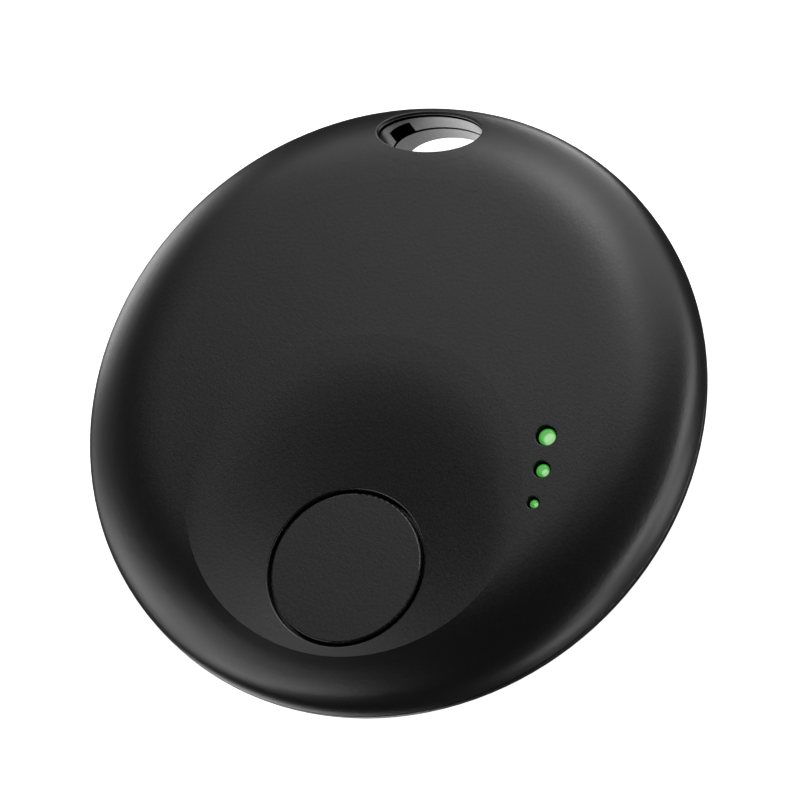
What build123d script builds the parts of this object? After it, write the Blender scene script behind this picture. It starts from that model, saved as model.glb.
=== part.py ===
"""Round Bluetooth tracker tag with a press button, three indicator lights and a key-ring hole.

All sizes are in millimetres. The origin is the centre of the flat back face, +Z points to the
button side, +Y to the key-ring hole and +X to the indicator lights. The two shells meet on the
plane z = seam_z. A ring-shaped circuit board surrounds the coin cell, which goes in through a
quarter-turn door in the back shell.
"""

from build123d import *
import os
from math import cos, hypot, radians, sin, sqrt, tan

# ---------------------------------------------------------------- housing
body_radius = 20.0
back_flat_radius = 16.8
seam_z = 2.6  # height of the parting line above the back face
top_z = 6.75  # crown of the front shell
crown_sphere_radius = 400.0  # the crown is spherical out to crown_flat_radius
crown_flat_radius = 14.0
wall = 0.85
rim_wall = 1.0
seam_round = 0.09  # rounding of each shell's rim edge, which makes the visible groove
edge_round = 0.12
seal_radius = 19.52  # centre line of the sealing bead in the rim
seal_width = 0.25
seal_depth = 0.2

# ---------------------------------------------------------------- key-ring hole
ring_hole_y = 17.52
ring_hole_semi_x = 3.4
ring_hole_semi_y = 1.58
collar_wall = 0.8
lip_thickness = 0.32  # front lip above the shadow groove
lip_gap_height = 0.3
lip_gap_depth = 0.17
lip_growth = 0.06  # the lip's oval is this much wider than the collar's
vent_x = (-3.9, -2.1)
vent_y = (17.95, 19.1)
vent_height = 1.5
hole_seam_depth = 0.15  # groove between the two shells inside the hole
hole_seam_height = 0.13  # half of the groove's height

# ---------------------------------------------------------------- button and its dish
button_y = -11.54
button_radius = 4.85
button_opening_radius = 5.07
button_top_z = 5.87
button_flange_radius = 5.6
button_flange_z = 4.85
button_flange_height = 0.25
button_stem_radius = 1.0
button_gasket_inner = 4.2
button_pocket_top_z = 5.15
well_inner = 5.9
well_outer = 6.5
dish_floor_z = 5.88  # level of the dish at the button opening
dish_skin = 0.7
dish_slope = 7.0  # degrees
dish_softness = 0.2  # height over which the dish blends into the crown beside the button
dish_top_softness = 0.5  # the same, towards the key-ring hole
dish_lift = 0.002  # the blend ends this far above the crown, so that the cut has a clear edge

# ---------------------------------------------------------------- indicator lights
light_spots = ((11.58, -2.48, 0.67), (11.68, -4.65, 0.55), (11.49, -6.80, 0.40))  # x, y, radius
light_surface_z = (6.56, 6.55, 6.52)
light_recess = 0.2
light_clearance = 0.11
light_edge_round = 0.05
light_dome_round = 0.2  # rounding of the studs' tops
guide_bottom_z = 4.3
guide_top_z = 5.5

# ---------------------------------------------------------------- coin cell and battery door
cell_y = 2.0
cell_radius = 10.0
cell_z = 0.95
cell_height = 3.2
door_radius = 12.4
door_gap = 0.1
door_thickness = 0.65
skirt_inner = 10.15
skirt_outer = 10.75
ledge_inner = 10.9
ledge_outer = 13.4
ledge_z = 0.75
ledge_top_z = 1.25
lug_radius = 11.45
lug_angle = 24.0
lug_z = 1.35
lug_top_z = 1.85
bayonet_angles = (90, 210, 330)
door_turn = 40.0  # degrees from locked to free
coin_slot = (12.0, 1.8, 0.4)

# ---------------------------------------------------------------- circuit board and inner frame
board_z = 2.95
board_top_z = 3.55
board_radius = 17.7
board_hole_radius = 11.1
frame_inner = 10.25
frame_outer = 10.95
frame_z = 2.05
frame_flange_z = 2.45
frame_flange_radius = 12.6
frame_top_z = 4.45
shelf_z = 4.2
shelf_inner = 2.5
shelf_outer = 5.9
screw_ring_radius = 15.3
screw_angles = (25, 155, 230, 310)
screw_radius = 0.55
screw_head_radius = 1.1
screw_head_height = 0.5
boss_radius = 1.3
boss_top_z = 5.9
contact_thickness = 0.15
contact_width = 2.0
contact_pad_radii = (11.4, 12.8)
negative_arm_radius = 5.0
negative_contact_angle = 180
positive_contact_angle = 0

# ---------------------------------------------------------------- button switch and buzzer
dome_radius = 2.0
dome_height = 0.3
buzzer_y = 6.5
buzzer_radius = 7.5
buzzer_seat_z = 5.45
buzzer_seat_inner = 6.6
glue_height = 0.1
buzzer_plate_height = 0.2
ceramic_radius = 5.0
ceramic_height = 0.2

button_axis = Location((0, button_y))
cell_axis = Location((0, cell_y))
buzzer_axis = Location((0, buzzer_y))
stem_bottom_z = board_top_z + dome_height
screw_points = [
    (screw_ring_radius * cos(radians(angle)), screw_ring_radius * sin(radians(angle)))
    for angle in screw_angles
]


def save(builder, name):
    """Labels a finished sub-part and writes its STEP file."""
    builder.part.label = name
    export_step(builder.part, f"parts/{name}.step")


def oval(growth):
    """Key-ring oval, grown by growth all round, in the current sketch."""
    with Locations((0, ring_hole_y)):
        Ellipse(ring_hole_semi_x + growth, ring_hole_semi_y + growth)


def ring(place, inner, outer):
    """Flat ring in the current sketch."""
    with Locations(place):
        Circle(outer)
        Circle(inner, mode=Mode.SUBTRACT)


def sector(axis, inner, outer, middle_angle, angle):
    """Ring sector around axis in the current sketch, centred on middle_angle."""
    start = middle_angle - angle / 2
    end = middle_angle + angle / 2
    outer_arc = Edge.make_circle(outer, start_angle=start, end_angle=end)
    inner_arc = Edge.make_circle(inner, start_angle=start, end_angle=end)
    sides = [Edge.make_line(inner_arc @ place, outer_arc @ place) for place in (0, 1)]
    make_face([edge.moved(axis) for edge in (outer_arc, inner_arc, *sides)])


def hole_mouth(builder, x, y, radius, lowest_z):
    """Edges round the mouth of an upright hole, above lowest_z."""

    def on_mouth(edge):
        points = [edge @ place for place in (0, 0.5, 1)]
        on_wall = all(abs(hypot(point.X - x, point.Y - y) - radius) < 0.01 for point in points)
        return on_wall and edge.center().Z > lowest_z and abs((edge % 0).Z) < 0.9

    return builder.edges().filter_by(on_mouth)


def chip(x, y, size_x, size_y, height, turn=0.0):
    """Block standing on the circuit board in the current part."""
    with Locations(Location((x, y, board_top_z), (0, 0, turn))):
        Box(size_x, size_y, height, align=(Align.CENTER, Align.CENTER, Align.MIN))


os.makedirs("parts", exist_ok=True)

# ---------------------------------------------------------------- forms used by the front shell
def crown_level(radius):
    """Height of the crown's spherical part at a distance from the disc's axis."""
    return top_z - crown_sphere_radius + sqrt(crown_sphere_radius**2 - radius**2)


def smooth_step(value):
    """Runs softly from 0 to 1 as value does."""
    value = min(max(value, 0), 1)
    return value * value * (3 - 2 * value)


def dish_level(x, y):
    """Height of the dish: a cone round the button, with a soft rim except below the button."""
    slope = tan(radians(dish_slope))
    reach = max(hypot(x, y - button_y), 0.01)
    inner = button_opening_radius - 1
    if reach > inner:
        cone = dish_floor_z + slope * (reach - button_opening_radius)
    else:
        cone = dish_floor_z - slope + slope * (reach**2 - inner**2) / (2 * inner)
    upward = (y - button_y) / reach
    softness = dish_softness + (dish_top_softness - dish_softness) * smooth_step(upward * 1.25 - 0.25)
    rise = cone - crown_level(hypot(x, y)) - dish_lift
    closeness = max(1 - abs(rise) / softness, 0)
    blend = max(rise, 0) + softness * closeness**3 / 6
    return cone - blend * smooth_step((upward + 0.55) / 0.5)


crown_edge = crown_level(crown_flat_radius)
with BuildPart() as crown_form:
    with BuildSketch(Plane.XZ):
        with BuildLine():
            crown_arc = RadiusArc((0, top_z), (crown_flat_radius, crown_edge), crown_sphere_radius)
            Spline(
                crown_arc @ 1,
                (17.0, top_z - 0.68),
                (19.0, top_z - 1.72),
                (body_radius, seam_z + seam_round),
                tangents=(crown_arc % 1, (0, -1)),
            )
            CenterArc((body_radius - seam_round, seam_z + seam_round), seam_round, 0, -90)
            Polyline((body_radius - seam_round, seam_z), (0, seam_z), (0, top_z))
        make_face()
    revolve(axis=Axis.Z)

with BuildPart() as crown_cavity:
    with BuildSketch(Plane.XZ):
        with BuildLine():
            Spline(
                (0, top_z - wall),
                (13.0, top_z - 0.24 - wall),
                (16.6, top_z - 0.75 - wall),
                (18.2, top_z - 1.8 - wall),
                (body_radius - rim_wall, seam_z),
                tangents=((1, 0), (0, -1)),
            )
            Polyline((body_radius - rim_wall, seam_z), (0, seam_z), (0, top_z - wall))
        make_face()
    revolve(axis=Axis.Z)

# everything above the dish, over the part of the crown that the dish can reach
dish_grid = 0.75
dish_columns = [step * dish_grid for step in range(-20, 21)]
dish_rows = [step * dish_grid for step in range(-28, 13)]
dish_surface = Face.make_surface_from_array_of_points(
    [[Vector(x, y, dish_level(x, y)) for y in dish_rows] for x in dish_columns],
    tol=0.0003,
    min_deg=3,
)
with BuildPart() as dish_form:
    extrude(to_extrude=dish_surface, amount=4, dir=(0, 0, 1))
# skin under the dish
with BuildPart() as dish_skin_form:
    add(crown_form.part)
    add(dish_form.part.moved(Location((0, 0, -dish_skin))), mode=Mode.INTERSECT)

# walls that hang from the skin: hole collar, button well, buzzer seat and screw bosses
with BuildPart() as hanging_walls:
    with BuildSketch(Plane.XY.offset(seam_z)):
        oval(collar_wall)
    extrude(amount=top_z - seam_z)
    with BuildSketch(Plane.XY.offset(frame_top_z + 0.05)):
        ring(button_axis, well_inner, well_outer)
    extrude(amount=0.9)
    with BuildSketch(Plane.XY.offset(buzzer_seat_z)):
        ring(buzzer_axis, buzzer_seat_inner, buzzer_radius)
    extrude(amount=0.6)
    with BuildSketch(Plane.XY.offset(board_top_z)):
        with Locations(screw_points):
            Circle(boss_radius)
            Circle(screw_radius, mode=Mode.SUBTRACT)
    extrude(amount=boss_top_z - board_top_z)
    add(crown_form.part, mode=Mode.INTERSECT)

# groove under the front lip of the key-ring hole, which follows the crown
with BuildPart() as lip_gap:
    with BuildSketch(Plane.XY.offset(seam_z)):
        oval(lip_gap_depth)
    extrude(amount=top_z)
    add(crown_form.part.moved(Location((0, 0, -lip_thickness))), mode=Mode.INTERSECT)
    add(crown_form.part.moved(Location((0, 0, -lip_thickness - lip_gap_height))), mode=Mode.SUBTRACT)

with BuildPart() as lip_opening:
    with BuildSketch(Plane.XY.offset(seam_z)):
        oval(lip_growth)
    extrude(amount=top_z)
    add(crown_form.part.moved(Location((0, 0, -lip_thickness - 0.05))), mode=Mode.SUBTRACT)

# ---------------------------------------------------------------- front shell
with BuildPart() as front_shell:
    add(crown_form.part)
    add(crown_cavity.part, mode=Mode.SUBTRACT)
    add(dish_skin_form.part)
    add(hanging_walls.part)
    add(dish_form.part, mode=Mode.SUBTRACT)
    # key-ring hole with its shadow groove and front lip
    with BuildSketch(Plane.XY.offset(seam_z)):
        oval(0)
    extrude(amount=top_z, mode=Mode.SUBTRACT)
    add(lip_gap.part, mode=Mode.SUBTRACT)
    add(lip_opening.part, mode=Mode.SUBTRACT)
    with BuildSketch(Plane.XY.offset(seam_z)):
        oval(hole_seam_depth)
    extrude(amount=hole_seam_height, mode=Mode.SUBTRACT)
    # sound vent from the hole to the inside
    with BuildSketch(Plane.XY.offset(seam_z)):
        with Locations((sum(vent_x) / 2, sum(vent_y) / 2)):
            Rectangle(vent_x[1] - vent_x[0], vent_y[1] - vent_y[0])
        with Locations((vent_x[0] - 0.35, vent_y[0] + 0.25)):
            Rectangle(0.8, 0.5)
    extrude(amount=vent_height, mode=Mode.SUBTRACT)
    # button pocket and opening, and light holes
    with BuildSketch(Plane.XY.offset(shelf_z)):
        with Locations(button_axis):
            Circle(well_inner)
    extrude(amount=button_pocket_top_z - shelf_z, mode=Mode.SUBTRACT)
    with BuildSketch(Plane.XY.offset(button_flange_z)):
        with Locations(button_axis):
            Circle(button_opening_radius)
    extrude(amount=top_z, mode=Mode.SUBTRACT)
    with BuildSketch(Plane.XY.offset(guide_top_z - 0.2)):
        for x, y, radius in light_spots:
            with Locations((x, y)):
                Circle(radius)
    extrude(amount=top_z, mode=Mode.SUBTRACT)
    # rounded edges that a finger can feel
    opening_mouth = hole_mouth(front_shell, 0, button_y, button_opening_radius, dish_floor_z - 0.1)
    fillet(opening_mouth, edge_round)
    for (x, y, radius), surface_z in zip(light_spots, light_surface_z):
        fillet(hole_mouth(front_shell, x, y, radius, surface_z - 0.1), light_edge_round)
    lip_edge = front_shell.edges().filter_by(lambda edge: edge.center().Y > 15.5).sort_by(Axis.Z)[-1]
    fillet(lip_edge, edge_round)
save(front_shell, "front_shell")

# ---------------------------------------------------------------- button
with BuildPart() as button_cap:
    with BuildSketch(Plane.XY.offset(button_flange_z)):
        with Locations(button_axis):
            Circle(button_radius)
    extrude(amount=button_top_z - button_flange_z)
    fillet(button_cap.edges().group_by(Axis.Z)[-1], edge_round)
    with BuildSketch(Plane.XY.offset(button_flange_z)):
        with Locations(button_axis):
            Circle(button_flange_radius)
    extrude(amount=button_flange_height)
    with BuildSketch(Plane.XY.offset(stem_bottom_z)):
        with Locations(button_axis):
            Circle(button_stem_radius)
    extrude(amount=button_flange_z - stem_bottom_z)
save(button_cap, "button_cap")

with BuildPart() as button_gasket:
    with BuildSketch(Plane.XY.offset(frame_top_z)):
        ring(button_axis, button_gasket_inner, button_flange_radius)
    extrude(amount=button_flange_z - frame_top_z)
save(button_gasket, "button_gasket")

with BuildPart() as switch_dome:
    with BuildSketch(Plane.XY.offset(board_top_z)):
        with Locations(button_axis):
            Circle(dome_radius)
    extrude(amount=dome_height)
    fillet(switch_dome.edges().group_by(Axis.Z)[-1], 0.25)
save(switch_dome, "switch_dome")

# ---------------------------------------------------------------- indicator lights
with BuildPart() as light_guide:
    with BuildSketch(Plane.XY.offset(guide_bottom_z)):
        with BuildLine():
            guide_line = Polyline(*[(x, y) for x, y, radius in light_spots])
        trace(guide_line, 2.2)
    extrude(amount=guide_top_z - guide_bottom_z)
    for (x, y, radius), surface_z in zip(light_spots, light_surface_z):
        with BuildSketch(Plane.XY.offset(guide_top_z)):
            with Locations((x, y)):
                Circle(radius - light_clearance)
        extrude(amount=surface_z - light_recess - guide_top_z)
    fillet(light_guide.edges().filter_by(GeomType.CIRCLE).filter_by(
        lambda edge: edge.center().Z > guide_top_z + 0.5), light_dome_round)
save(light_guide, "light_guide")

with BuildPart() as status_leds:
    for x, y, radius in light_spots:
        chip(x, y, 1.6, 0.8, 0.5)
save(status_leds, "status_leds")

# ---------------------------------------------------------------- back shell
with BuildPart() as back_form:
    with BuildSketch(Plane.XZ):
        with BuildLine():
            Line((0, 0), (back_flat_radius, 0))
            EllipticalCenterArc(
                (back_flat_radius, seam_z - seam_round),
                body_radius - back_flat_radius,
                seam_z - seam_round,
                start_angle=270,
                arc_size=90,
            )
            CenterArc((body_radius - seam_round, seam_z - seam_round), seam_round, 0, 90)
            Polyline((body_radius - seam_round, seam_z), (0, seam_z), (0, 0))
        make_face()
    revolve(axis=Axis.Z)

with BuildPart() as back_walls:
    with BuildSketch():
        oval(collar_wall)
    extrude(amount=seam_z)
    add(back_form.part, mode=Mode.INTERSECT)

with BuildPart() as back_shell:
    add(back_form.part)
    with BuildSketch(Plane.XZ):
        with BuildLine():
            Polyline(
                (back_flat_radius, ledge_z),
                (0, ledge_z),
                (0, seam_z),
                (body_radius - rim_wall, seam_z),
            )
            EllipticalCenterArc(
                (back_flat_radius, seam_z),
                body_radius - rim_wall - back_flat_radius,
                seam_z - ledge_z,
                start_angle=270,
                arc_size=90,
            )
        make_face()
    revolve(axis=Axis.Z, mode=Mode.SUBTRACT)
    add(back_walls.part)
    # battery opening with its bayonet ledge, entry notches and lug stops
    with BuildSketch(Plane.XY.offset(ledge_z)):
        ring(cell_axis, ledge_inner, ledge_outer)
    extrude(amount=ledge_top_z - ledge_z)
    with BuildSketch():
        with Locations(cell_axis):
            Circle(door_radius + door_gap)
    extrude(amount=ledge_z, mode=Mode.SUBTRACT)
    with BuildSketch(Plane.XY.offset(ledge_z)):
        for angle in bayonet_angles:
            sector(cell_axis, ledge_inner - 0.2, lug_radius + 0.15, angle - door_turn, lug_angle + 3)
    extrude(amount=ledge_top_z - ledge_z, mode=Mode.SUBTRACT)
    with BuildSketch(Plane.XY.offset(ledge_top_z)):
        for angle in bayonet_angles:
            sector(cell_axis, ledge_inner + 0.05, lug_radius, angle + lug_angle / 2 + 4, 6)
    extrude(amount=lug_top_z - ledge_top_z)
    # key-ring hole and the groove of the sealing bead
    with BuildSketch():
        oval(0)
    extrude(amount=seam_z, mode=Mode.SUBTRACT)
    hole_edge = back_shell.edges().filter_by(lambda edge: edge.center().Y > 17).sort_by(Axis.Z)[0]
    fillet(hole_edge, edge_round)
    with BuildSketch(Plane.XY.offset(seam_z - hole_seam_height)):
        oval(hole_seam_depth)
    extrude(amount=hole_seam_height, mode=Mode.SUBTRACT)
    with BuildSketch(Plane.XY.offset(seam_z - seal_depth)):
        ring(Location(), seal_radius - seal_width / 2, seal_radius + seal_width / 2)
    extrude(amount=seal_depth, mode=Mode.SUBTRACT)
save(back_shell, "back_shell")

with BuildPart() as housing_seal:
    with BuildSketch(Plane.XY.offset(seam_z - seal_depth)):
        ring(Location(), seal_radius - seal_width / 2, seal_radius + seal_width / 2)
    extrude(amount=seal_depth)
save(housing_seal, "housing_seal")

with BuildPart() as vent_mesh:
    with Locations((vent_x[0] - 0.15, vent_y[0] + 0.25, seam_z)):
        Box(0.12, 0.5, vent_height, align=(Align.CENTER, Align.CENTER, Align.MIN))
save(vent_mesh, "vent_mesh")

# ---------------------------------------------------------------- battery door
with BuildPart() as battery_door:
    with BuildSketch():
        with Locations(cell_axis):
            Circle(door_radius)
    extrude(amount=door_thickness)
    chamfer(battery_door.edges().group_by(Axis.Z)[0], 0.12)
    with BuildSketch(Plane.XY.offset(door_thickness)):
        ring(cell_axis, skirt_inner, skirt_outer)
    extrude(amount=lug_top_z - door_thickness)
    with BuildSketch(Plane.XY.offset(lug_z)):
        for angle in bayonet_angles:
            sector(cell_axis, skirt_outer - 0.2, lug_radius, angle, lug_angle)
    extrude(amount=lug_top_z - lug_z)
    with BuildSketch():
        with Locations(cell_axis):
            SlotOverall(coin_slot[0], coin_slot[1])
    extrude(amount=coin_slot[2], mode=Mode.SUBTRACT)
save(battery_door, "battery_door")

with BuildPart() as door_seal:
    with BuildSketch(Plane.XY.offset(door_thickness)):
        ring(cell_axis, skirt_outer + 0.6, door_radius - 0.2)
    extrude(amount=ledge_z - door_thickness)
save(door_seal, "door_seal")

# ---------------------------------------------------------------- coin cell
cell_top_z = cell_z + cell_height
can_top_z = cell_top_z - 0.25
can_bore = 9.3
cap_radius = 8.95
cell_bottom = 0.25
with BuildPart() as cell_can:
    with BuildSketch(Plane.XY.offset(cell_z)):
        with Locations(cell_axis):
            Circle(cell_radius)
    extrude(amount=can_top_z - cell_z)
    fillet(cell_can.edges().filter_by(GeomType.CIRCLE), 0.25)
    with BuildSketch(Plane.XY.offset(cell_z + cell_bottom)):
        with Locations(cell_axis):
            Circle(can_bore)
    extrude(amount=cell_height, mode=Mode.SUBTRACT)
save(cell_can, "cell_can")

with BuildPart() as cell_gasket:
    with BuildSketch(Plane.XY.offset(cell_z + cell_bottom)):
        ring(cell_axis, cap_radius, can_bore)
    extrude(amount=can_top_z + 0.05 - cell_z - cell_bottom)
save(cell_gasket, "cell_gasket")

with BuildPart() as cell_cap:
    with BuildSketch(Plane.XY.offset(cell_z + cell_bottom)):
        with Locations(cell_axis):
            Circle(cap_radius)
    extrude(amount=cell_height - cell_bottom)
    fillet(cell_cap.edges().group_by(Axis.Z)[-1], 0.15)
save(cell_cap, "cell_cap")

# ---------------------------------------------------------------- inner frame, screws and contacts
with BuildPart() as inner_frame:
    with BuildSketch(Plane.XY.offset(frame_z)):
        ring(cell_axis, frame_inner, frame_outer)
    extrude(amount=frame_top_z - frame_z)
    with BuildSketch(Plane.XY.offset(frame_flange_z)):
        for point in screw_points:
            with BuildLine():
                arm = Line((0, cell_y), point)
            trace(arm, 3.2)
        with Locations(cell_axis):
            Circle(frame_flange_radius)
            Circle(frame_inner, mode=Mode.SUBTRACT)
        with Locations(screw_points):
            Circle(screw_radius, mode=Mode.SUBTRACT)
    extrude(amount=board_z - frame_flange_z)
    # shelf under the button gasket
    with BuildSketch(Plane.XY.offset(shelf_z)):
        ring(button_axis, shelf_inner, shelf_outer)
    extrude(amount=frame_top_z - shelf_z)
    # slots for the battery contacts
    for angle in (negative_contact_angle, positive_contact_angle):
        with Locations(cell_axis * Rotation(0, 0, angle) * Location((frame_inner, 0, board_top_z))):
            Box(
                2,
                contact_width + 0.6,
                2,
                align=(Align.CENTER, Align.CENTER, Align.MIN),
                mode=Mode.SUBTRACT,
            )
save(inner_frame, "inner_frame")

with BuildPart() as frame_screws:
    with BuildSketch(Plane.XY.offset(frame_flange_z - screw_head_height)):
        with Locations(screw_points):
            Circle(screw_head_radius)
    extrude(amount=screw_head_height)
    chamfer(frame_screws.edges().group_by(Axis.Z)[0], 0.15)
    with BuildSketch(Plane.XY.offset(frame_flange_z)):
        with Locations(screw_points):
            Circle(screw_radius)
    extrude(amount=4.9 - frame_flange_z)
    with Locations([(x, y, frame_flange_z - screw_head_height) for x, y in screw_points]):
        Box(1.3, 0.3, 0.5, mode=Mode.SUBTRACT)
        Box(0.3, 1.3, 0.5, mode=Mode.SUBTRACT)
save(frame_screws, "frame_screws")

pad_inner, pad_outer = contact_pad_radii
with BuildPart() as contact_negative:
    with BuildSketch(Plane.XZ):
        with BuildLine():
            Polyline(
                (pad_inner, board_top_z),
                (pad_outer, board_top_z),
                (pad_outer, cell_top_z + contact_thickness),
                (negative_arm_radius, cell_top_z + contact_thickness),
                (negative_arm_radius, cell_top_z),
                (pad_outer - contact_thickness, cell_top_z),
                (pad_outer - contact_thickness, board_top_z + contact_thickness),
                (pad_inner, board_top_z + contact_thickness),
                close=True,
            )
        make_face()
    extrude(amount=contact_width / 2, both=True)
contact_negative.part.locate(cell_axis * Rotation(0, 0, negative_contact_angle))
save(contact_negative, "contact_negative")

with BuildPart() as contact_positive:
    with BuildSketch(Plane.XZ):
        with BuildLine():
            Polyline(
                (pad_outer, board_top_z),
                (pad_outer, board_top_z + contact_thickness),
                (cell_radius, board_top_z + contact_thickness),
                (cell_radius, frame_flange_z),
                (cell_radius + contact_thickness, frame_flange_z),
                (cell_radius + contact_thickness, board_top_z),
                close=True,
            )
        make_face()
    extrude(amount=contact_width / 2, both=True)
contact_positive.part.locate(cell_axis * Rotation(0, 0, positive_contact_angle))
save(contact_positive, "contact_positive")

# ---------------------------------------------------------------- circuit board and its parts
with BuildPart() as circuit_board:
    with BuildSketch(Plane.XY.offset(board_z)):
        Circle(board_radius)
        with Locations(cell_axis):
            Circle(board_hole_radius, mode=Mode.SUBTRACT)
        with Locations((0, ring_hole_y)):
            Ellipse(
                ring_hole_semi_x + collar_wall + 0.3,
                ring_hole_semi_y + collar_wall + 0.3,
                mode=Mode.SUBTRACT,
            )
        with Locations(screw_points):
            Circle(screw_radius, mode=Mode.SUBTRACT)
    extrude(amount=board_top_z - board_z)
save(circuit_board, "circuit_board")

with BuildPart() as radio_chip:
    chip(-10.8, -6.3, 3, 3, 0.6, 37.5)
save(radio_chip, "radio_chip")

with BuildPart() as radio_shield:
    chip(-10.8, -6.3, 4.4, 5.2, 1.0, 37.5)
    fillet(radio_shield.edges().filter_by(Axis.Z), 0.4)
    with Locations(Location((-10.8, -6.3, board_top_z), (0, 0, 37.5))):
        Box(4.1, 4.9, 0.85, align=(Align.CENTER, Align.CENTER, Align.MIN), mode=Mode.SUBTRACT)
save(radio_shield, "radio_shield")

with BuildPart() as flash_memory:
    chip(15.0, 0.8, 2, 3, 0.6)
save(flash_memory, "flash_memory")

with BuildPart() as motion_sensor:
    chip(8.9, 12.2, 2, 2, 0.7, 50)
save(motion_sensor, "motion_sensor")

with BuildPart() as power_chip:
    chip(-14.8, 2.0, 1.8, 1.8, 0.5)
save(power_chip, "power_chip")

with BuildPart() as crystal:
    chip(-7.6, 13.4, 2.0, 1.6, 0.5, 30)
    fillet(crystal.edges().filter_by(Axis.Z), 0.2)
save(crystal, "crystal")

with BuildPart() as inductor:
    chip(-14.6, -1.6, 2.4, 2.0, 1.0, 10)
    fillet(inductor.edges().filter_by(Axis.Z), 0.3)
save(inductor, "inductor")

with BuildPart() as chip_antenna:
    chip(-13.2, 10.0, 3.2, 1.2, 0.9, 52.9)
save(chip_antenna, "chip_antenna")

with BuildPart() as passives:
    for x, y, turn in (
        (-12.2, -2.2, 90),
        (-12.8, -10.2, 50),
        (-7.0, -14.8, 20),
        (7.0, -14.8, -20),
        (12.6, -10.4, -50),
        (14.6, -7.6, 90),
        (15.2, -5.0, 90),
        (15.4, -2.6, 90),
        (12.2, 10.6, 40),
        (5.9, 13.9, 0),
        (-11.0, 11.6, 50),
        (-11.4, 9.0, 140),
    ):
        chip(x, y, 1.0, 0.5, 0.45, turn)
save(passives, "passives")

# ---------------------------------------------------------------- buzzer
plate_top_z = buzzer_seat_z - glue_height
ceramic_top_z = plate_top_z - buzzer_plate_height
with BuildPart() as buzzer_glue:
    with BuildSketch(Plane.XY.offset(plate_top_z)):
        ring(buzzer_axis, buzzer_seat_inner, buzzer_radius)
    extrude(amount=glue_height)
save(buzzer_glue, "buzzer_glue")

with BuildPart() as buzzer_plate:
    with BuildSketch(Plane.XY.offset(ceramic_top_z)):
        with Locations(buzzer_axis):
            Circle(buzzer_radius)
    extrude(amount=buzzer_plate_height)
save(buzzer_plate, "buzzer_plate")

with BuildPart() as buzzer_ceramic:
    with BuildSketch(Plane.XY.offset(ceramic_top_z - ceramic_height)):
        with Locations(buzzer_axis):
            Circle(ceramic_radius)
    extrude(amount=ceramic_height)
save(buzzer_ceramic, "buzzer_ceramic")

spring_width = 1.0
spring_thickness = 0.1
riser_y = 13.45
with BuildPart() as buzzer_springs:
    for x, arm_y, arm_top_z in (
        (-1.6, 12.6, ceramic_top_z),
        (1.6, 10.8, ceramic_top_z - ceramic_height),
    ):
        with BuildSketch(Plane.YZ.offset(x)):
            with BuildLine():
                Polyline(
                    (riser_y + 0.5, board_top_z),
                    (riser_y + 0.5, board_top_z + spring_thickness),
                    (riser_y, board_top_z + spring_thickness),
                    (riser_y, arm_top_z),
                    (arm_y, arm_top_z),
                    (arm_y, arm_top_z - spring_thickness),
                    (riser_y - spring_thickness, arm_top_z - spring_thickness),
                    (riser_y - spring_thickness, board_top_z),
                    close=True,
                )
            make_face()
        extrude(amount=spring_width / 2, both=True)
save(buzzer_springs, "buzzer_springs")
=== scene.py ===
"""Looks of the Bluetooth tracker tag: materials, camera, studio lights and floor.

Lengths are in metres. The frame is the CAD model's: +Z is the button side, +Y the key-ring hole
and +X the indicator lights, with the back just above the floor.
"""
from math import cos, pi, radians, sin

import bpy
from mathutils import Matrix, Vector


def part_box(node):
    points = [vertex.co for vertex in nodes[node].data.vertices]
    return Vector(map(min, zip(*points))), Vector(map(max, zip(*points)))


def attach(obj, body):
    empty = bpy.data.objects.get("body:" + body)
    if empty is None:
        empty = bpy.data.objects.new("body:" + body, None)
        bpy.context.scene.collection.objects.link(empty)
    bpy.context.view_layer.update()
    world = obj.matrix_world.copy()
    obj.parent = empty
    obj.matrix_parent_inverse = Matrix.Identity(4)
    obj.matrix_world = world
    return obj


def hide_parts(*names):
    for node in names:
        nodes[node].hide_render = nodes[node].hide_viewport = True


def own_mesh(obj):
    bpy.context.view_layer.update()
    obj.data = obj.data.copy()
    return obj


MM = 0.001

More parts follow.
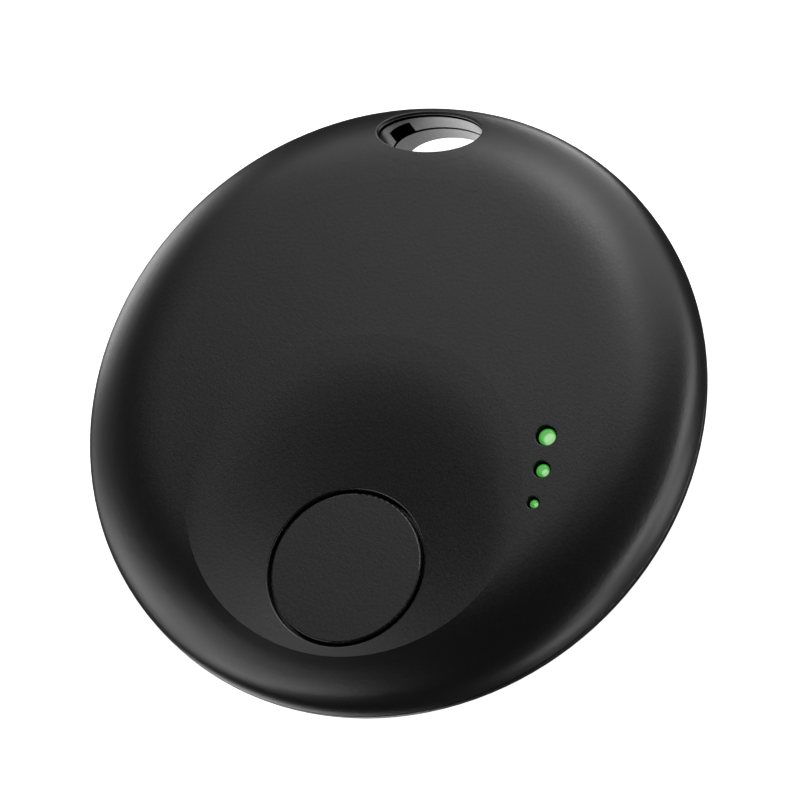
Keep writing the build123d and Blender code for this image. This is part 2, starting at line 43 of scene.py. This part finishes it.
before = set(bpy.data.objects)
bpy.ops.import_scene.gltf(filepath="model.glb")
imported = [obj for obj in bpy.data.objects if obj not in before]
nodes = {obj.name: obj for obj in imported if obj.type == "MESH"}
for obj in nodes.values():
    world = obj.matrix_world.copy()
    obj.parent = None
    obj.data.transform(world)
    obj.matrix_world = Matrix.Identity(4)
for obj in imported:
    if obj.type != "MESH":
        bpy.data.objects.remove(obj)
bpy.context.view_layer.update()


# ---------------------------------------------------------------- shader helpers
class Shader:
    """A material round one Principled node, with short calls for the nodes that feed it."""

    def __init__(self, name):
        self.material = bpy.data.materials.new(name)
        self.material.use_nodes = True
        self.tree = self.material.node_tree
        self.tree.nodes.clear()
        self.bsdf = self.add("ShaderNodeBsdfPrincipled")
        self.output = self.add("ShaderNodeOutputMaterial")
        self.link(self.bsdf, "BSDF", self.output, "Surface")
        self.coords = self.add("ShaderNodeTexCoord")

    def add(self, kind, **settings):
        """Adds a node; each setting is a property of the node or one of its inputs."""
        node = self.tree.nodes.new(kind)
        for key, value in settings.items():
            if hasattr(node, key):
                setattr(node, key, value)
            else:
                node.inputs[key].default_value = value
        return node

    def link(self, source, out, target, into):
        self.tree.links.new(source.outputs[out], target.inputs[into])

    def set(self, **values):
        """Sets inputs of the Principled node, with _ for each space in their names."""
        for key, value in values.items():
            self.bsdf.inputs[key.replace("_", " ")].default_value = value

    def noise(self, size_mm, detail=2.0, roughness=0.5, stretch=(1, 1, 1)):
        """Noise whose features are about size_mm across, drawn out along the small axes of stretch."""
        scaled = self.add("ShaderNodeMapping", Scale=stretch)
        self.link(self.coords, "Object", scaled, "Vector")
        scale = 1 / (size_mm * MM)
        node = self.add("ShaderNodeTexNoise", Scale=scale, Detail=detail, Roughness=roughness)
        self.link(scaled, "Vector", node, "Vector")
        return node

    def ramp(self, source, out, low, high, start=0.35, end=0.65):
        """Maps start..end of a value to low..high."""
        limits = {"From Min": start, "From Max": end, "To Min": low, "To Max": high}
        node = self.add("ShaderNodeMapRange", **limits)
        self.link(source, out, node, "Value")
        return node

    def tint(self, source, out, dark, light):
        """Colours the surface from dark to light by a value."""
        node = self.add("ShaderNodeMix", data_type="RGBA")
        node.inputs[6].default_value = (*dark, 1)
        node.inputs[7].default_value = (*light, 1)
        self.link(source, out, node, "Factor")
        self.tree.links.new(node.outputs[2], self.bsdf.inputs["Base Color"])

    def roughen(self, source, out, low, high):
        """Varies the roughness from low to high by a noise."""
        self.link(self.ramp(source, out, low, high), "Result", self.bsdf, "Roughness")

    def bump(self, source, out, height_mm, after=None):
        """Relief of height_mm on the surface, on top of an earlier relief."""
        node = self.add("ShaderNodeBump", Distance=height_mm * MM, Strength=1.0)
        self.link(source, out, node, "Height")
        if after is not None:
            self.link(after, "Normal", node, "Normal")
        self.link(node, "Normal", self.bsdf, "Normal")
        return node


def give(shader, *names):
    """Puts a material on CAD nodes."""
    for name in names:
        for slot in nodes[name].material_slots:
            slot.material = shader.material


def grey(value):
    """Neutral colour with the faint blue of black plastic."""
    return (value, value, value * 1.04)


# ---------------------------------------------------------------- kinds of material
PATCH_SIZE_MM = 6.0
SWELL_HEIGHT_MM = 0.004
# the light guide's colours: its green glow, and the pale painted highlight on each stud's dome
GUIDE_GREEN = (0.055, 0.40, 0.045, 1)
GUIDE_HIGHLIGHT = (0.38, 0.74, 0.33, 1)
GUIDE_GLOW = 0.85
# middle and radius of the painted highlight on each stud in mm, off the stud's middle like a
# reflection of a lamp above, and the share of the radius that is palest
PAINTED_HIGHLIGHTS = (((11.83, -2.66, 6.36), 0.47), ((11.91, -4.81, 6.35), 0.27), ((11.70, -6.90, 6.32), 0.18))
PAINTED_HIGHLIGHT_CORE = 0.65
# heights in mm, and upward parts of the normal, between which the studs start to shine
SHINE_HEIGHTS = (5.9, 6.1)
SHINE_SLOPES = (0.3, 0.6)
# cells per metre of the vent's weave and of the board's tracks
WEAVE_SCALE = 1400.0
TRACK_SCALE = 900.0


def plastic(name, dark, light, roughness, grain_mm, grain_height_mm, specular=0.5):
    """Moulded plastic, rubber or ceramic: faint patches, a fine grain and a slight swell."""
    shader = Shader(name)
    shader.set(Specular_IOR_Level=specular)
    patches = shader.noise(PATCH_SIZE_MM, detail=3.0)
    grain = shader.noise(grain_mm, detail=4.0, roughness=0.6)
    shader.tint(patches, "Fac", dark, light)
    shader.roughen(grain, "Fac", *roughness)
    swell = shader.bump(patches, "Fac", SWELL_HEIGHT_MM)
    shader.bump(grain, "Fac", grain_height_mm, after=swell)
    return shader


def metal(name, dark, light, roughness, grain_mm=0.08, grain_height_mm=0.0015):
    """Rolled sheet metal: grain drawn out along X and light tarnish."""
    shader = Shader(name)
    shader.set(Metallic=1.0)
    tarnish = shader.noise(2.5, detail=4.0)
    grain = shader.noise(grain_mm, detail=3.0, stretch=(0.08, 1, 1))
    shader.tint(tarnish, "Fac", dark, light)
    shader.roughen(grain, "Fac", *roughness)
    shader.bump(grain, "Fac", grain_height_mm)
    return shader


def painted_highlight_mask(shader):
    """Node whose result is 1 in the painted highlights on the light guide's studs and 0 outside them.
    """
    nearest = None
    for spot, radius in PAINTED_HIGHLIGHTS:
        distance = shader.add("ShaderNodeVectorMath", operation="DISTANCE")
        shader.link(shader.coords, "Object", distance, 0)
        distance.inputs[1].default_value = [value * MM for value in spot]
        share = shader.add("ShaderNodeMath", operation="DIVIDE")
        shader.link(distance, "Value", share, 0)
        share.inputs[1].default_value = radius * MM
        if nearest is None:
            nearest = share
            continue
        smaller = shader.add("ShaderNodeMath", operation="MINIMUM")
        shader.link(nearest, "Value", smaller, 0)
        shader.link(share, "Value", smaller, 1)
        nearest = smaller
    return shader.ramp(nearest, "Value", 1.0, 0.0, PAINTED_HIGHLIGHT_CORE, 1.0)


def shine_of_tops(shader):
    """Node whose value is 1 on the tops of the light guide's studs and 0 on their sides and below."""
    facing = shader.add("ShaderNodeSeparateXYZ")
    shader.link(shader.add("ShaderNodeNewGeometry"), "Normal", facing, "Vector")
    place = shader.add("ShaderNodeSeparateXYZ")
    shader.link(shader.coords, "Object", place, "Vector")
    low, high = SHINE_HEIGHTS
    shine = shader.add("ShaderNodeMath", operation="MULTIPLY")
    shader.link(shader.ramp(facing, "Z", 0.0, 1.0, *SHINE_SLOPES), "Result", shine, 0)
    shader.link(shader.ramp(place, "Z", 0.0, 1.0, low * MM, high * MM), "Result", shine, 1)
    return shine


def lit_guide():
    """Clear plastic of the light guide, glowing green from the lamps under it, with a pale painted
    highlight on each stud's dome.
    """
    shader = Shader("light_guide_green")
    cloud = shader.noise(0.25)
    shader.tint(cloud, "Fac", (0.015, 0.10, 0.012), (0.025, 0.14, 0.02))
    shader.roughen(cloud, "Fac", 0.14, 0.22)
    shader.bump(cloud, "Fac", 0.003)
    shader.set(IOR=1.49, Coat_Weight=0.3, Coat_Roughness=0.1)
    glow = shader.add("ShaderNodeMix", data_type="RGBA")
    glow.inputs[6].default_value = GUIDE_GREEN
    glow.inputs[7].default_value = GUIDE_HIGHLIGHT
    # painted highlight: the emission turns pale in a spot on each stud's dome, off its middle where a
    # lamp above would reflect
    shader.link(painted_highlight_mask(shader), "Result", glow, "Factor")
    # only the studs' tops shine, so the walls round them stay dark
    dimmed = shader.add("ShaderNodeMix", data_type="RGBA")
    dimmed.inputs[6].default_value = (0, 0, 0, 1)
    shader.link(shine_of_tops(shader), "Value", dimmed, "Factor")
    shader.tree.links.new(glow.outputs[2], dimmed.inputs[7])
    shader.tree.links.new(dimmed.outputs[2], shader.bsdf.inputs["Emission Color"])
    shader.set(Emission_Strength=GUIDE_GLOW)
    return shader


def woven_mesh():
    """Black acoustic mesh."""
    shader = Shader("vent_mesh_black")
    weave = shader.add("ShaderNodeTexWave", Scale=WEAVE_SCALE, Distortion=0.3)
    shader.link(shader.coords, "Object", weave, "Vector")
    shader.tint(weave, "Fac", grey(0.008), grey(0.03))
    shader.roughen(weave, "Fac", 0.7, 0.9)
    shader.bump(weave, "Fac", 0.02)
    return shader


def solder_mask():
    """Green board with raised tracks under the mask."""
    shader = Shader("board_green")
    cells = shader.add("ShaderNodeTexVoronoi", feature="DISTANCE_TO_EDGE", Scale=TRACK_SCALE)
    shader.link(shader.coords, "Object", cells, "Vector")
    tracks = shader.ramp(cells, "Distance", 0.0, 1.0, 0.03, 0.09)
    shader.tint(tracks, "Result", (0.012, 0.13, 0.06), (0.006, 0.07, 0.035))
    shader.roughen(tracks, "Result", 0.22, 0.34)
    shader.bump(tracks, "Result", 0.01)
    shader.set(Coat_Weight=0.2, Coat_Roughness=0.2)
    return shader


# ---------------------------------------------------------------- materials of the nodes
shell_finish = (grey(0.0034), grey(0.0044), (0.35, 0.39), 0.2, 0.009)
give(plastic("soft_touch_black", *shell_finish), "front_shell")
give(plastic("button_black", *shell_finish), "button_cap")
give(plastic("back_black", *shell_finish), "back_shell")
give(plastic("door_black", grey(0.006), grey(0.008), (0.30, 0.38), 0.14, 0.003), "battery_door")
give(plastic("frame_grey", grey(0.07), grey(0.10), (0.45, 0.6), 0.2, 0.006), "inner_frame")
rubber = plastic("seal_rubber", grey(0.03), grey(0.05), (0.55, 0.75), 0.12, 0.005)
give(rubber, "housing_seal", "door_seal")
give(plastic("cell_nylon", grey(0.06), grey(0.10), (0.35, 0.5), 0.15, 0.004), "cell_gasket")
silicone = plastic("silicone_grey", grey(0.30), grey(0.42), (0.4, 0.55), 0.25, 0.004)
silicone.set(Subsurface_Weight=0.15, Subsurface_Scale=0.0005)
epoxy = plastic("chip_epoxy", grey(0.018), grey(0.034), (0.42, 0.6), 0.06, 0.003)
give(epoxy, "radio_chip", "flash_memory", "motion_sensor", "power_chip")
ferrite = plastic("ferrite", (0.07, 0.065, 0.065), (0.14, 0.13, 0.13), (0.35, 0.6), 0.08, 0.006)
give(ferrite, "inductor")
antenna = plastic("antenna_ceramic", (0.70, 0.67, 0.58), (0.86, 0.84, 0.76), (0.2, 0.35), 0.1, 0.003)
give(antenna, "chip_antenna")
fired = plastic("passive_ceramic", (0.26, 0.17, 0.10), (0.46, 0.34, 0.22), (0.3, 0.5), 0.08, 0.004)
give(fired, "passives")
glue = plastic("glue_white", (0.62, 0.62, 0.57), (0.80, 0.80, 0.76), (0.35, 0.6), 0.3, 0.01)
give(glue, "buzzer_glue")
led = plastic("led_body", (0.70, 0.74, 0.62), (0.88, 0.90, 0.80), (0.2, 0.35), 0.1, 0.002)
give(led, "status_leds")

give(metal("cell_steel", (0.50, 0.50, 0.51), (0.66, 0.66, 0.67), (0.22, 0.38)), "cell_can")
give(metal("cap_steel", (0.44, 0.44, 0.45), (0.60, 0.60, 0.61), (0.28, 0.44)), "cell_cap")
give(metal("dome_steel", (0.58, 0.58, 0.58), (0.72, 0.72, 0.71), (0.16, 0.3)), "switch_dome")
give(metal("screw_steel", (0.42, 0.42, 0.44), (0.58, 0.58, 0.60), (0.3, 0.45)), "frame_screws")
tin = metal("shield_tin", (0.52, 0.52, 0.51), (0.68, 0.67, 0.65), (0.3, 0.45), 0.12, 0.003)
give(tin, "radio_shield")
give(metal("crystal_can", (0.60, 0.58, 0.53), (0.74, 0.72, 0.67), (0.22, 0.36)), "crystal")
gold = metal("contact_gold", (0.64, 0.44, 0.18), (0.84, 0.62, 0.30), (0.2, 0.36))
give(gold, "contact_positive", "contact_negative", "buzzer_springs")
give(metal("buzzer_brass", (0.56, 0.38, 0.13), (0.74, 0.55, 0.24), (0.24, 0.42)), "buzzer_plate")
give(metal("buzzer_silver", (0.66, 0.66, 0.64), (0.80, 0.80, 0.78), (0.34, 0.5)), "buzzer_ceramic")

give(lit_guide(), "light_guide")
give(woven_mesh(), "vent_mesh")
give(solder_mask(), "circuit_board")


# ---------------------------------------------------------------- soft ring under the button
GASKET_INNER = 4.2 * MM
GASKET_ROUND = 0.08 * MM
GASKET_STEPS = 128
CORNER_STEPS = 5
CONTACT_GAP = 0.01 * MM


def make_button_gasket():
    """Silicone ring with round edges, on its shelf under the button's flange."""
    low, high = (Vector(corner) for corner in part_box("button_gasket"))
    middle = (low + high) / 2
    outer = (high.x - low.x) / 2 - CONTACT_GAP
    inner = GASKET_INNER + CONTACT_GAP
    bottom = low.z + CONTACT_GAP
    top = high.z - CONTACT_GAP
    corners = ((outer, top, 0), (inner, top, 90), (inner, bottom, 180), (outer, bottom, 270))
    outline = []
    for radius, height, start in corners:
        side = 1 if radius == inner else -1
        lift = -1 if height == top else 1
        for step in range(CORNER_STEPS + 1):
            angle = radians(start + 90 * step / CORNER_STEPS)
            along = radius + side * GASKET_ROUND + GASKET_ROUND * cos(angle)
            outline.append((along, height + lift * GASKET_ROUND + GASKET_ROUND * sin(angle)))
    points = []
    faces = []
    count = len(outline)
    for index in range(GASKET_STEPS):
        turn = 2 * pi * index / GASKET_STEPS
        following = (index + 1) % GASKET_STEPS
        here = index * count
        beyond = following * count
        for place, (along, height) in enumerate(outline):
            points.append((middle.x + along * cos(turn), middle.y + along * sin(turn), height))
            ahead = (place + 1) % count
            faces.append((here + place, beyond + place, beyond + ahead, here + ahead))
    mesh = bpy.data.meshes.new("button_gasket_soft")
    mesh.from_pydata(points, [], faces)
    for face in mesh.polygons:
        face.use_smooth = True
    mesh.materials.append(silicone.material)
    gasket = bpy.data.objects.new("button_gasket_soft", mesh)
    bpy.context.scene.collection.objects.link(gasket)
    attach(gasket, "housing")
    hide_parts("button_gasket")
    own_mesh(gasket)


make_button_gasket()


# ---------------------------------------------------------------- camera
FOCAL_LENGTH_MM = 253.46
SENSOR_WIDTH_MM = 36.0
CAMERA_PLACE = (0.124886, -0.110007, 0.310502)
CAMERA_RIGHT = (0.93283, 0.17467, -0.31516)
CAMERA_UP = (-0.05397, 0.93252, 0.35707)


def aim_camera():
    """Long lens that looks down on the button side from the front right."""
    data = bpy.data.cameras.new("camera")
    data.lens = FOCAL_LENGTH_MM
    data.sensor_width = SENSOR_WIDTH_MM
    data.clip_start = 0.01
    data.clip_end = 10.0
    camera = bpy.data.objects.new("camera", data)
    bpy.context.scene.collection.objects.link(camera)
    right = Vector(CAMERA_RIGHT).normalized()
    back = right.cross(Vector(CAMERA_UP)).normalized()
    turn = Matrix((right, back.cross(right), back)).transposed().to_4x4()
    camera.matrix_world = Matrix.Translation(CAMERA_PLACE) @ turn
    bpy.context.scene.camera = camera


# ---------------------------------------------------------------- studio
LAMP_DISTANCE = 0.6
LAMP_WIDTH = 0.26
HOLE_GLOW_PLACE = Vector((-1.5, 16, -4)) * MM
HOLE_GLOW_WIDTH = 12 * MM
HOLE_GLOW_WATTS = 0.0006
FLOOR_GLOW = 1.0
FLOOR_REACH = 1.5
WORLD_GLOW = 0.005
BACKDROP_GLOW = 1.0
# the floor lies this far under the tag, so that their faces don't coincide
FLOOR_GAP = 0.1 * MM
# name, elevation, first azimuth, last azimuth, number of lamps, watts each
LAMP_ROWS = (
    ("key", 42, 90, 90, 1, 1.05),
    ("key_high", 62, 60, 120, 2, 0.25),
    ("key_side", 42, 54, 126, 2, 0.15),
    ("key_low", 24, 60, 120, 3, 0.27),
    ("left", 24, 210, 240, 2, 0.45),
    ("left_low", 6, 195, 225, 2, 0.6),
    ("right_low", 6, -15, 15, 2, 0.7),
    ("right_back", 6, 45, 75, 2, 0.35),
    ("under_right", -12, -30, 30, 3, 0.4),
    ("under_back", -12, 90, 90, 1, 0.9),
    ("under_corner", -12, 150, 150, 1, 0.8),
    ("under_left", -12, 180, 210, 2, 0.22),
    ("deep_right", -36, -45, 0, 2, 0.4),
    ("deep_left", -64, 200, 200, 1, 0.3),
)


def add_lamp(name, place, direction, width, watts):
    """Round soft lamp whose face looks along minus direction."""
    data = bpy.data.lights.new(name, "AREA")
    data.shape = "DISK"
    data.size = width
    data.energy = watts
    lamp = bpy.data.objects.new(name, data)
    lamp.location = place
    lamp.rotation_euler = direction.to_track_quat("Z", "Y").to_euler()
    bpy.context.scene.collection.objects.link(lamp)


def lamp_row(name, elevation, first_azimuth, last_azimuth, count, watts):
    """Round soft lamps on an arc round the tag, all at one elevation, in degrees."""
    for index in range(count):
        share = index / (count - 1) if count > 1 else 0
        azimuth = radians(first_azimuth + share * (last_azimuth - first_azimuth))
        flat = cos(radians(elevation))
        outward = Vector((flat * cos(azimuth), flat * sin(azimuth), sin(radians(elevation))))
        add_lamp(f"{name}_{index + 1}", LAMP_DISTANCE * outward, outward, LAMP_WIDTH, watts)


def lay_floor():
    """White floor that glows like a light table. Reflections and low lamps pass through it, and it
    is clear from below, where the tag's back shows."""
    sides = ((-1, -1), (1, -1), (1, 1), (-1, 1))
    corners = [(FLOOR_REACH * x, FLOOR_REACH * y, -FLOOR_GAP) for x, y in sides]
    mesh = bpy.data.meshes.new("floor")
    mesh.from_pydata(corners, [], [(0, 1, 2, 3)])
    floor = bpy.data.objects.new("floor", mesh)
    bpy.context.scene.collection.objects.link(floor)
    paint = Shader("floor_paint")
    paint.tint(paint.noise(20.0), "Fac", (0.90, 0.90, 0.90), (0.92, 0.92, 0.92))
    paint.set(Roughness=0.9, Emission_Color=(1, 1, 1, 1), Emission_Strength=FLOOR_GLOW)
    one_sided = paint.add("ShaderNodeMixShader")
    paint.link(paint.add("ShaderNodeNewGeometry"), "Backfacing", one_sided, 0)
    paint.link(paint.bsdf, "BSDF", one_sided, 1)
    paint.link(paint.add("ShaderNodeBsdfTransparent"), "BSDF", one_sided, 2)
    paint.link(one_sided, "Shader", paint.output, "Surface")
    mesh.materials.append(paint.material)
    floor.visible_glossy = False
    floor.visible_shadow = False


def light_studio():
    """White backdrop that casts almost no light, so that only the lamps show in the plastic."""
    world = bpy.data.worlds.new("studio")
    world.use_nodes = True
    tree = world.node_tree
    backdrop = tree.nodes["Background"]
    backdrop.inputs["Color"].default_value = (1, 1, 1, 1)
    strength = tree.nodes.new("ShaderNodeMapRange")
    strength.inputs["To Min"].default_value = WORLD_GLOW
    strength.inputs["To Max"].default_value = BACKDROP_GLOW
    seen = tree.nodes.new("ShaderNodeLightPath").outputs["Is Camera Ray"]
    tree.links.new(seen, strength.inputs["Value"])
    tree.links.new(strength.outputs["Result"], backdrop.inputs["Strength"])
    bpy.context.scene.world = world
    for row in LAMP_ROWS:
        lamp_row(*row)
    # shines up through the key-ring hole onto its walls
    downward = Vector((0, 0, -1))
    add_lamp("hole_glow", HOLE_GLOW_PLACE, downward, HOLE_GLOW_WIDTH, HOLE_GLOW_WATTS)
    bpy.context.scene.view_settings.view_transform = "Standard"


aim_camera()
lay_floor()
light_studio()
